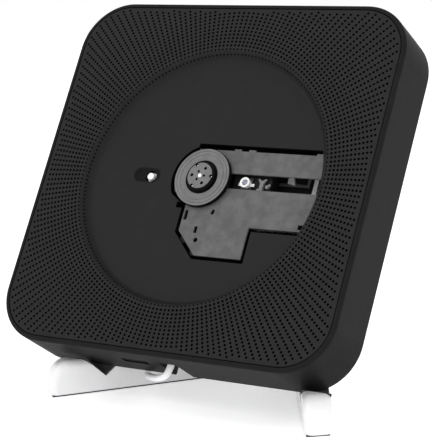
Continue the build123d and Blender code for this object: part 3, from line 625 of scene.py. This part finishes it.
def cover_outlines(opening):
    """Closed outlines that the cover's triangles keep to, and loose points between them."""
    insets = [step * EDGE_ROUND for step in EDGE_STEPS]
    loops = [rounded_square(PANEL_HALF - inset, PANEL_R - inset) for inset in insets]
    loops += [opening, circle(PIN_U, PIN_V, PIN_HOLE_R, PIN_HOLE_SIDES), SLIT]
    loops += [obround(DENT_U, 0, DENT_LENGTH - 2 * inset, DENT_WIDTH - 2 * inset) for inset in DENT_STEPS]
    half_ray = math.pi / RAYS
    loops += [circle(0, 0, r, RAYS, half_ray) for r in WALL_LOOP_RS]
    loose = []
    for r in WALL_POINT_RS:
        loose += circle(0, 0, r, RAYS, half_ray)
    for r in FINE_WALL_POINT_RS:
        loose += circle(0, 0, r, 2 * RAYS)
    holes = list(perforation())
    for ring, ray, x, y in holes:
        if ring < len(SHOULDER_HOLE_RS):
            continue
        a = 2 * math.pi * (ray + 0.5) / RAYS
        r = FIRST_RING_R + (ring + 0.5) * RING_STEP
        corner = (r * math.cos(a), r * math.sin(a))
        if inside_distance(*corner, PANEL_HALF, PANEL_R) > 2 * EDGE_ROUND:
            loose.append(corner)
        loops.append(circle(x, y, HOLE_R, HOLE_SIDES, a))
    for ring, ray, x, y in holes:
        if ring < len(SHOULDER_HOLE_RS):
            a = 2 * math.pi * ray / RAYS
            loops.append(circle(x, y, hole_radius(ring), SHOULDER_HOLE_SIDES, a))
    return loops, loose


def in_hole(x, y):
    """True where a hole of the perforation is."""
    ring = round((math.hypot(x, y) - FIRST_RING_R) / RING_STEP)
    if ring < 0:
        return False
    r = FIRST_RING_R + ring * RING_STEP
    a = 2 * math.pi * round(math.atan2(y, x) * RAYS / (2 * math.pi)) / RAYS
    cx, cy = r * math.cos(a), r * math.sin(a)
    if inside_distance(cx, cy, HOLE_LIMIT_HALF, HOLE_LIMIT_R) <= 0:
        return False
    return math.hypot(x - cx, y - cy) < SAME_HOLE * hole_radius(ring)


def in_opening(x, y, opening):
    """True where the pin's hole, the deck's opening or the slit is."""
    if math.hypot(x - PIN_U, y - PIN_V) < PIN_INSIDE * PIN_HOLE_R:
        return True
    if math.hypot(x, y) > OPENING_LIMIT_R:
        return False
    return inside_polygon(x, y, opening) or inside_polygon(x, y, SLIT)


def cover_triangles():
    """The cover's plan: its points and triangles, with every opening left out."""
    opening = deck_opening()
    loops, points = cover_outlines(opening)
    edges = []
    for loop in loops:
        first = len(points)
        points += loop
        edges += [(first + i, first + (i + 1) % len(loop)) for i in range(len(loop))]
    flat, _, faces, _, _, _ = delaunay_2d_cdt([Vector(p) for p in points], edges, [], 0, 1e-5)
    kept = []
    for a, b, c in faces:
        x = (flat[a].x + flat[b].x + flat[c].x) / 3
        y = (flat[a].y + flat[b].y + flat[c].y) / 3
        if in_hole(x, y) or in_opening(x, y, opening):
            continue
        turn = (flat[b] - flat[a]).cross(flat[c] - flat[a])
        kept.append((a, b, c) if turn > 0 else (a, c, b))
    return flat, kept


def cover_mesh(flat, kept):
    """The closed mesh: front, underside, then a wall along every edge."""
    count = len(flat)
    verts = [on_face(p.x, p.y, front_height(p.x, p.y)) for p in flat]
    verts += [on_face(p.x, p.y, under_height(p.x, p.y)) for p in flat]
    directed = {(t[i], t[(i + 1) % 3]) for t in kept for i in range(3)}
    walls = [(b, a, a + count, b + count) for a, b in directed if (b, a) not in directed]
    faces = list(kept) + [(a + count, c + count, b + count) for a, b, c in kept] + sorted(walls)
    mesh = bpy.data.meshes.new("front_cover_perforated")
    mesh.from_pydata(verts, [], faces)
    used = {i for face in faces for i in face}
    drop_vertices(mesh, [i for i in range(2 * count) if i not in used])
    return mesh


def build_cover(materials):
    """The perforated face and disc recess, one closed moulding."""
    flat, kept = cover_triangles()
    mesh = cover_mesh(flat, kept)
    for name in COVER_LOOKS:
        mesh.materials.append(materials[name])
    for index, triangle in enumerate(kept):
        if all(flat[i].length < DISH_R + SLACK for i in triangle):
            mesh.polygons[index].material_index = COVER_LOOKS.index("dish")
        # The dent's triangles get the darker material, a painted shade in the dent
        if all(dent_distance(*flat[i]) > -0.01 for i in triangle):
            mesh.polygons[index].material_index = COVER_LOOKS.index("dent_painted_shade")
    # Every wall gets the near-black material: a painted shade inside holes and openings and along the edge
    for index in range(2 * len(kept), len(mesh.polygons)):
        mesh.polygons[index].material_index = COVER_LOOKS.index("hole")
    mesh.shade_smooth()
    mesh.set_sharp_from_angle(angle=math.radians(40))
    cover = bpy.data.objects.new("front_cover_perforated", mesh)
    bpy.context.scene.collection.objects.link(cover)
    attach(cover, "player")
    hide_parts("front_cover")


def drop_vertices(mesh, indices):
    """Deletes points that no face uses."""
    work = bmesh.new()
    work.from_mesh(mesh)
    work.verts.ensure_lookup_table()
    bmesh.ops.delete(work, geom=[work.verts[i] for i in indices], context="VERTS")
    work.to_mesh(mesh)
    work.free()


# ---- Power cord ----

# Route in millimetres from the body's lower back edge, from the plug over the left leg to the coil
PLUG_RUN = ((3.5, -85.0, -15.6), (3.5, -92.0, -15.6))
CORD_ROUTE = (
    (1.0, -14.6, 14.4),
    (-5.2, -11.4, 12.4),
    (-12.2, -5.2, 10.9),
    (-19.0, 1.2, 9.4),
    (-23.0, 9.8, 10.0),
    (-21.0, 20.0, 15.0),
    (-19.5, 29.0, 22.5),
    (-24.0, 38.0, 27.0),
    (-34.5, 44.5, 27.5),
    (-46.5, 47.5, 21.0),
    (-57.0, 50.0, 11.0),
    (-64.8, 57.0, 4.2),
    (-69.9, 67.7, 2.3),
)


def coil_points():
    """The tied coil's turns, wound in layers from the outside in and back."""
    low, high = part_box("cord_coil")
    cx, cy = (low.x + high.x) / 2, (low.y + high.y) / 2
    bottom = low.z / MM + CORD_D / 2
    start = math.radians(180)
    # A quadratic spline cuts the corners of a polygon; this brings it back out to the turn's radius
    reach = 1 / (0.75 + 0.25 * math.cos(2 * math.pi / TURN_POINTS))
    places = []
    for turn in range(COIL_TURNS):
        layer, column = divmod(turn, COIL_ACROSS)
        column = COIL_ACROSS - 1 - column if layer % 2 == 0 else column
        places.append((COIL_MEAN_R + (column - (COIL_ACROSS - 1) / 2) * CORD_D, bottom + layer * CORD_D))
    places.append(places[-1])
    points = []
    for step in range(COIL_TURNS * TURN_POINTS):
        turn, part = divmod(step, TURN_POINTS)
        t = smooth((part / TURN_POINTS - STEP_FROM) / (1 - STEP_FROM))
        r = (places[turn][0] * (1 - t) + places[turn + 1][0] * t) * reach * MM
        z = (places[turn][1] * (1 - t) + places[turn + 1][1] * t) * MM
        a = start - 2 * math.pi * step / TURN_POINTS
        points.append((cx + r * math.cos(a), cy + r * math.sin(a), z))
    return points


def cord_curve(points):
    """A smooth curve along the route, which starts and ends at its ends."""
    curve = bpy.data.curves.new("cord_line", "CURVE")
    curve.dimensions = "3D"
    curve.resolution_u = 5
    spline = curve.splines.new("NURBS")
    spline.points.add(len(points) - 1)
    for point, place in zip(spline.points, points):
        point.co = (*place, 1.0)
    spline.order_u = 3
    spline.use_endpoint_u = True
    return curve


def build_cord(materials):
    """The whole cord as one tube along a smooth spline, and its path."""
    base = FACE @ (Vector((0, -BODY / 2, -DEPTH)) * MM)
    shift = Vector((0, base.y, 0))
    points = [on_face(*p) for p in PLUG_RUN] + [Vector(p) * MM + shift for p in CORD_ROUTE]
    points += [Vector(p) for p in coil_points()]
    curve = cord_curve(points)
    holder = bpy.data.objects.new("cord_line", curve)
    bpy.context.scene.collection.objects.link(holder)
    line = bpy.data.meshes.new_from_object(holder)
    path = [v.co.copy() for v in line.vertices]
    curve.bevel_depth = CORD_D * MM / 2
    curve.bevel_resolution = 5
    curve.use_fill_caps = True
    bpy.context.view_layer.update()
    tube = bpy.data.meshes.new_from_object(holder.evaluated_get(bpy.context.evaluated_depsgraph_get()))
    tube.name = "power_cord_white"
    bpy.data.objects.remove(holder)
    cord = bpy.data.objects.new("power_cord_white", tube)
    bpy.context.scene.collection.objects.link(cord)
    tube.materials.clear()
    tube.materials.append(materials["cord"])
    tube.shade_smooth()
    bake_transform(cord)
    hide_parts("power_cord", "cord_coil")
    return cord, path


def lathe_mesh(name, profile, sides=40):
    """A closed turned piece along +Z from (radius, height) points in millimetres."""
    verts, faces = [], []
    for r, z in profile:
        verts += [Vector((*p, z)) * MM for p in circle(0, 0, r, sides)]
    for low in range(0, (len(profile) - 1) * sides, sides):
        for i in range(sides):
            j = (i + 1) % sides
            faces.append((low + i, low + j, low + sides + j, low + sides + i))
    faces.append(tuple(reversed(range(sides))))
    last = (len(profile) - 1) * sides
    faces.append(tuple(range(last, last + sides)))
    mesh = bpy.data.meshes.new(name)
    mesh.from_pydata(verts, [], faces)
    mesh.shade_smooth()
    mesh.set_sharp_from_angle(angle=math.radians(50))
    return mesh


def build_dc_plug(materials):
    """The power plug: metal barrel, ribbed grip and a tapered, ringed strain relief."""
    profile = [(1.2, 0.0), (1.9, 0.15)]
    for ring in range(6):
        low = 0.3 + 0.9 * ring
        r = 1.95 + 0.2 * ring
        profile += [(r, low), (r, low + 0.5), (r - 0.3, low + 0.55), (r - 0.3, low + 0.85)]
    profile += [(3.4, 5.7), (3.9, 6.1)]
    for rib in range(5):
        low = 7.0 + 1.8 * rib
        profile += [(4.0, low), (4.0, low + 1.1), (3.75, low + 1.2), (3.75, low + 1.6)]
    profile += [(4.0, 16.2), (4.0, 17.2), (3.6, 17.8), (2.7, 17.8)]
    mesh = lathe_mesh("dc_plug_ribbed", profile)
    mesh.materials.append(materials["rubber"])
    barrel = lathe_mesh("dc_plug_barrel", [(2.7, 17.7), (2.7, 27.6), (2.5, 28.0), (1.1, 28.0)])
    barrel.materials.append(materials["plated"])
    stand_up = Matrix.Rotation(math.radians(-90), 4, "X")
    place = FACE @ Matrix.Translation(Vector(PLUG_RUN[0]) * MM) @ stand_up
    made = []
    for part in (mesh, barrel):
        part.transform(place)
        plug = bpy.data.objects.new(part.name, part)
        bpy.context.scene.collection.objects.link(plug)
        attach(plug, "player")
        made.append(plug)
    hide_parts("dc_plug")
    return made


def finish_usb_plug(materials):
    """White grip and plated shell, by how far along the plug a face is."""
    mesh = nodes["usb_plug"].data
    mesh.materials.clear()
    mesh.materials.append(materials["cord"])
    mesh.materials.append(materials["plated"])
    low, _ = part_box("usb_plug")
    shell_from = low.y + USB_GRIP_LENGTH * MM
    for polygon in mesh.polygons:
        if polygon.center.y > shell_from + 0.05 * MM:
            polygon.material_index = 1


materials = make_materials()
add_camera()
add_studio()
cord, cord_path = build_cord(materials)
plug_pieces = build_dc_plug(materials)
finish_nodes(materials)
finish_turntable(materials)
finish_lens_holder(materials)
finish_usb_plug(materials)
build_cover(materials)
